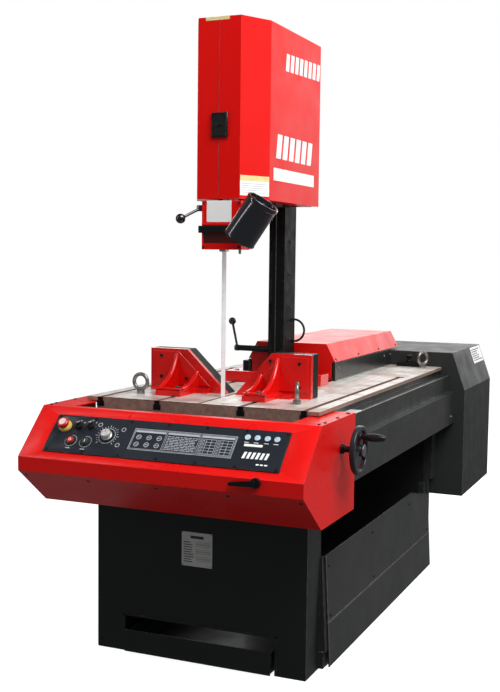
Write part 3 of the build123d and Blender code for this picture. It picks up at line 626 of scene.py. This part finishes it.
# ================= vises =================
# Each vise has its jaw's tip, top corner and outer end (distances from the middle), its two ribs as
# (x, front y, top z, sag), the ends of its toe, and its screws.
VISES = (
    ("left", -1, 17, 181, 332, ((-224, 122, 1049, 18), (-140, 134, 985, 10)), (-231, -133),
     ((-286, 1040), (-286, 962), (-182, 958))),
    ("right", 1, 11, 154, 306, ((179, 122, 1049, 18), (114, 134, 985, 10)), (107, 194),
     ((150, 1040), (262, 1034), (262, 950))),
)
for hand, s, tip, corner, outer, ribs, (x0, x1), spots in VISES:
    pad = Form(axes((0, 265, 0), (1, 0, 0), (0, 0, 1)))
    rise = (1067 - TABLE_TOP) / (corner - tip)
    low, high = 934, 1058
    inset = 42
    near_low, near_high = (tip + inset + (z - TABLE_TOP) / rise for z in (low, high))
    pad.prism([(s * near_low, low), (s * (outer - 10), low), (s * (outer - 10), high), (s * near_high, high)],
              0, 5)
    piece(f"vise_pad_{hand}", pad, f"vise_{hand[0]}", look_red_cast, 2.5)
    lip = Form(FRONT)
    lip.prism([(s * (tip + 2), 914), (s * (corner - 1), 1066.6),
               (s * (corner + 3), 1066.6), (s * (tip + 6), 914)], -335.5, -333)
    piece(f"jaw_lip_{hand}", lip, f"vise_{hand[0]}", look_zinc)
    holes = Form(axes((0, 260, 0), (1, 0, 0), (0, 0, 1)))
    for x, z in spots:
        holes.lathe([(7, -0.5), (7, 0.6), (5.4, 1.2), (4.6, 0.4), (0.1, 0.2)], x, z, None, 24)
    piece(f"vise_screws_{hand}", holes, f"vise_{hand[0]}", look_black_and_shade)
    for x, y0, top, sag in ribs:
        a, b = Vector((x, 265, top)), Vector((x, y0, 934))
        bend = Vector((x, (y0 + 265) / 2 + 2 * sag, (930 + top) / 2 - 2 * sag))
        path = [a.lerp(bend, t / 14).lerp(bend.lerp(b, t / 14), t / 14) for t in range(15)]
        crest = Form().tube(path, 9.5, None, 16)
        piece(f"vise_rib_{hand}_{int(top)}", crest, f"vise_{hand[0]}", look_red_cast)
    toe = Form()
    curve = [(x0, 112)]
    curve += [(x0 + (x1 - x0) * k / 12, 112 + 9 * math.sin(math.pi * k / 12)) for k in range(1, 12)]
    curve += [(x1, 112), (x1, 132), (x0, 132)]
    toe.prism(curve, 932, 940)
    piece(f"vise_toe_{hand}", toe, f"vise_{hand[0]}", look_red_cast, 2.0)

# ================= skirts and cover =================
skirt = Form(SIDE)
for y in (900, 1547, 1650):
    skirt.screw(y, 960, 192, 6, None, 2)
piece("skirt_screws_right", skirt, "bed", look_zinc)
skirt = Form(LEFT_SIDE)
for y in (900, 1160, 1400, 1640):
    skirt.screw(-y, 960, 192, 6, None, 2)
piece("skirt_screws_left", skirt, "bed", look_black_and_shade)
foot = Form()
for s in (-1, 1):
    foot.box(*pair(s, 192, 196), 858, 1645, 910, 914)
piece("skirt_strip", foot, "bed", look_zinc, 0.5)
block = Form().box(-217, -193, 856, 900, 930, 977)
piece("skirt_end_block", block, "bed", look_black_and_shade, 2)
for hand, s in (("right", 1), ("left", -1)):
    cover = Form(axes((s * 192, 0, 986), (0, s, 0), (-s * 39, 0, 74)))
    for y in (880, 1180, 1480, 1760):
        cover.screw(s * y, 12, 0, 5.5, None, 1.6)
    piece(f"cover_screws_{hand}", cover, "carriage", look_black_and_shade)

# ================= rear housing =================
slant = axes((546, 0, 806), (0, 1, 0), (-61, 0, 171))
label = Form(slant).box(2030, 2255, 98, 178, -0.2, 0.5)
piece("rear_label", label, "bed", look_white)
ink = Form(slant)
for row in range(6):
    ink.box(2044, 2236 - random.uniform(0, 80), 110 + row * 10.5, 114 + row * 10.5, 0.5, 0.8)
piece("rear_label_lines", ink, "bed", look_ink)
seam = Form().box(545.4, 546.6, 1672, 1676, 311, 806)
piece("housing_seams", seam, "bed", look_dark_steel)

# ================= column =================
facing = Form()
facing.box(-21.5, 21.5, 686, 690, 745, 1604)
facing.box(-33, -25, 683.4, 685.2, 745, 1604)
facing.box(25, 33, 683.4, 685.2, 745, 1604)
piece("column_face", facing, "saw_frame", look_column, 0.5)
line = Form().box(-6, -2.5, 685.4, 686.2, 760, 1600)
piece("column_scale", line, "saw_frame", look_dark_steel)
bolts = Form(SIDE)
for z in range(820, 1600, 130):
    bolts.screw(760, z, 28, 5, None, 2)
piece("column_bolts", bolts, "saw_frame", look_black_and_shade)

# ================= head =================
tag = Form(FRONT).box(-52, 38, 2216, 2227.6, -133, -132.4)
piece("head_top_tag", tag, "saw_frame", look_brass)
seam = Form(FRONT)
seam.box(-0.5, 0.5, 1612, 2224, -133.4, -132.4)
piece("head_seam", seam, "saw_frame", look_ink)
stripes = Form(SIDE)
for k in range(8):
    y = 395 + 46 * k
    z = 2078 + 2 * k
    stripes.prism([(y, z), (y + 30, z), (y + 38, z + 62), (y + 8, z + 62)], HEAD_SIDE, HEAD_SIDE + 0.5)
for k in range(6):
    y = 312 + 62 * k
    stripes.prism([(y, 1760), (y + 44, 1760), (y + 60, 1846), (y + 16, 1846)], HEAD_SIDE, HEAD_SIDE + 0.5)
stripes.box(291, 703, 1681, 1725, HEAD_SIDE, HEAD_SIDE + 0.5)
piece("head_stripes", stripes, "door", look_white)
label = Form(CHAMFER).box(2, 134, 1620, 1689, 0, 0.5)
piece("head_label", label, "door", look_white)
band = Form(CHAMFER).box(2, 134, 1671, 1689, 0.5, 0.8)
piece("head_label_band", band, "door", look_brass)
ink = Form(CHAMFER)
for row in range(5):
    ink.box(10, 126 - random.uniform(0, 40), 1630 + row * 7.5, 1632 + row * 7.5, 0.5, 0.8)
piece("head_label_lines", ink, "door", look_print)
catch = Form(FRONT)
catch.border(-22, 30, 1823, 1899, 3, -124, -122.6)
catch.lathe([(8, -124), (8, -121.4), (6.5, -120.6), (0.1, -120.6)], 4, 1861, None, 28)
piece("latch_face", catch, "latch", look_black_and_shade, 0.5)
hinge = Form()
for z in (1702.5, 2102.5):
    hinge.lathe([(4.6, z + 25), (4.6, z + 27), (3.4, z + 28.4), (0.1, z + 28.4)], 130, 749, None, 20)
piece("hinge_caps", hinge, "saw_frame", look_steel)
heads = Form(LEFT_SIDE)
for y in (290, 520, 740):
    for z in (1640, 1920, 2200):
        heads.screw(-y, z, HEAD_SIDE, 5, None, 1.6)
piece("head_screws_left", heads, "saw_frame", look_black_and_shade)

# ================= blade guide =================
sheet = Form(FRONT).box(-39, 55, 1528, 1602, GUIDE_FACE, GUIDE_FACE + 0.6)
piece("guide_sheet", sheet, "guide", look_white)
lip = Form(FRONT).box(-57, 91, 1517, 1523, GUIDE_FACE, GUIDE_FACE + 4)
lip.box(-57, -50, 1436, 1600, GUIDE_FACE, GUIDE_FACE + 2)
piece("guide_lip", lip, "guide", look_red, 0.8)
# Painted shade: a dark red strip across the guide face stands in for the shadow in its recess.
recess = Form(FRONT).box(-57, 91, 1455, 1489, GUIDE_FACE, GUIDE_FACE + 0.5)
piece("guide_recess_shade", recess, "guide", look_red_shade)
grip = Form().box(-66, 42, 110.6, 125, 1490, 1515)
piece("guide_bar_sleeve", grip, "guide", look_black_and_shade, 3)
heads = Form(FRONT)
for x, z in ((-52, 1442), (84, 1442), (-52, 1594), (84, 1594), (74, 1503)):
    heads.screw(x, z, GUIDE_FACE, 4.5, None, 3)
piece("guide_screws", heads, "guide", look_black_and_shade)
nozzle = Form()
nozzle.lathe([(5, 1436), (5, 1424), (3.4, 1418), (2.2, 1418), (0.1, 1420)], 64, 180, None, 20)
nozzle.tube([(64, 180, 1436), (66, 184, 1460), (72, 196, 1490),
             (76, 206, 1540), (74, 210, 1590), (70, 200, 1640)], 4)
piece("coolant_nozzle", nozzle, "guide", look_steel)

# ================= work lamp =================
lamp_dir = Vector((0.57, 0, 0.82)).normalized()
lamp_frame = axes((158, 60, 1530), (0, 1, 0), lamp_dir.cross(Vector((0, 1, 0))))
shade = Form(lamp_frame)
shade.lathe([(51, -50), (52, -76), (54, -77.5), (56.2, -77.5), (57.2, -75), (57.2, -70), (56, -67), (56, 58),
             (57, 61), (58, 64), (58, 75), (56.5, 77), (53.5, 77), (52, 74), (51, 66), (20, 63), (0.1, 62.4),
             (0.1, -50)], 0, 0, None, 64)
shade.lathe([(9, -135), (9, -100)], 158, 1543, FRONT, 24)
piece("lamp_shade", shade, "lamp", look_gloss, 0, ("work_lamp",))
glass = Form(lamp_frame)
glass.lathe([(51.6, -62), (40, -64), (20, -66), (0.1, -66.6), (0.1, -60), (51.6, -58)], 0, 0, None, 48)
piece("lamp_glass", glass, "lamp", look_lens)

# ================= handwheel =================
HAND_AXIS = (10, 792)           # y, z
hub = Form(SIDE)
hub.lathe([(0.1, 586), (17, 586), (19, 584.5), (19, 580), (14, 578), (0.1, 578)], *HAND_AXIS, None, 40)
piece("handwheel_cap", hub, "handwheel_unit", look_steel)
# Painted shade: the collar is black to stand in for the shadow between the console and the wheel.
collar = Form(SIDE)
collar.lathe([(14, 506), (16, 508), (16, 516), (13, 518), (10.6, 518), (10.6, 506)],
             *HAND_AXIS, None, 36, True)
piece("handwheel_collar", collar, "bed", look_black_and_shade)

# ================= surroundings =================
scene = bpy.context.scene


def staged(name, form, material):
    """Something around the object that lights and reflections don't see."""
    mesh = bpy.data.meshes.new(name)
    form.to_mesh(mesh)
    form.free()
    mesh.materials.append(material)
    obj = bpy.data.objects.new(name, mesh)
    scene.collection.objects.link(obj)
    obj.visible_diffuse = obj.visible_glossy = False
    return obj


staged("floor", Form().box(-14500, 14500, -14500, 14500, -20, -0.6).bm, look_floor)

look_sky = bpy.data.materials.new("white surroundings")
look_sky.use_nodes = True
sky_shader = look_sky.node_tree.nodes["Principled BSDF"]
sky_shader.inputs["Base Color"].default_value = (0, 0, 0, 1)
sky_shader.inputs["Roughness"].default_value = 1
sky_shader.inputs["Specular IOR Level"].default_value = 0
sky_shader.inputs["Emission Color"].default_value = (1, 1, 1, 1)
sky_shader.inputs["Emission Strength"].default_value = 1
dome = bmesh.new()
bmesh.ops.create_uvsphere(dome, u_segments=32, v_segments=16, radius=22)
sky = staged("sky", dome, look_sky)
sky.visible_transmission = sky.visible_shadow = False

world = bpy.data.worlds.new("surroundings")
scene.world = world
world.use_nodes = True
world.node_tree.nodes["Background"].inputs["Color"].default_value = (1, 1, 1, 1)
world.node_tree.nodes["Background"].inputs["Strength"].default_value = 0.17
scene.view_settings.view_transform = "Standard"


def lamp(name, place, target, size, watts):
    data = bpy.data.lights.new(name, "AREA")
    data.shape = "RECTANGLE"
    data.size, data.size_y = size
    data.energy = watts
    obj = bpy.data.objects.new(name, data)
    obj.location = at(*place)
    obj.rotation_euler = (at(*target) - obj.location).to_track_quat("-Z", "Y").to_euler()
    scene.collection.objects.link(obj)
    obj.visible_camera = False


lamp("top right", (2500, -1100, 4700), (0, 300, 900), (3.4, 2.6), 290)
lamp("right side", (4200, 1500, 2600), (0, 700, 1400), (2.6, 2.6), 34)
lamp("left strip", (-2100, -1500, 2500), (100, 100, 1500), (0.25, 2.6), 14)
lamp("rear wall", (-300, 5400, 2500), (0, 900, 900), (6.0, 3.4), 105)

# ================= camera =================
CAMERA_AT = (1617.4, -3316.8, 1407.3)
CAMERA_YAW, CAMERA_PITCH, CAMERA_ROLL = 0.40779, -0.08122, 0.01171
CAMERA_LENS = 56.70


def make_camera():
    yaw, pitch, roll = CAMERA_YAW, CAMERA_PITCH, CAMERA_ROLL
    forward = Vector((-math.sin(yaw) * math.cos(pitch), math.cos(yaw) * math.cos(pitch), math.sin(pitch)))
    level = Vector((math.cos(yaw), math.sin(yaw), 0))
    upright = level.cross(forward)
    right = level * math.cos(roll) + upright * math.sin(roll)
    up = upright * math.cos(roll) - level * math.sin(roll)
    data = bpy.data.cameras.new("camera")
    data.lens = CAMERA_LENS
    data.sensor_width = 36
    data.clip_end = 60
    camera = bpy.data.objects.new("camera", data)
    turn = Matrix((right, up, -forward)).transposed().to_4x4()
    camera.matrix_world = Matrix.Translation(at(*CAMERA_AT)) @ turn
    scene.collection.objects.link(camera)
    scene.camera = camera


make_camera()
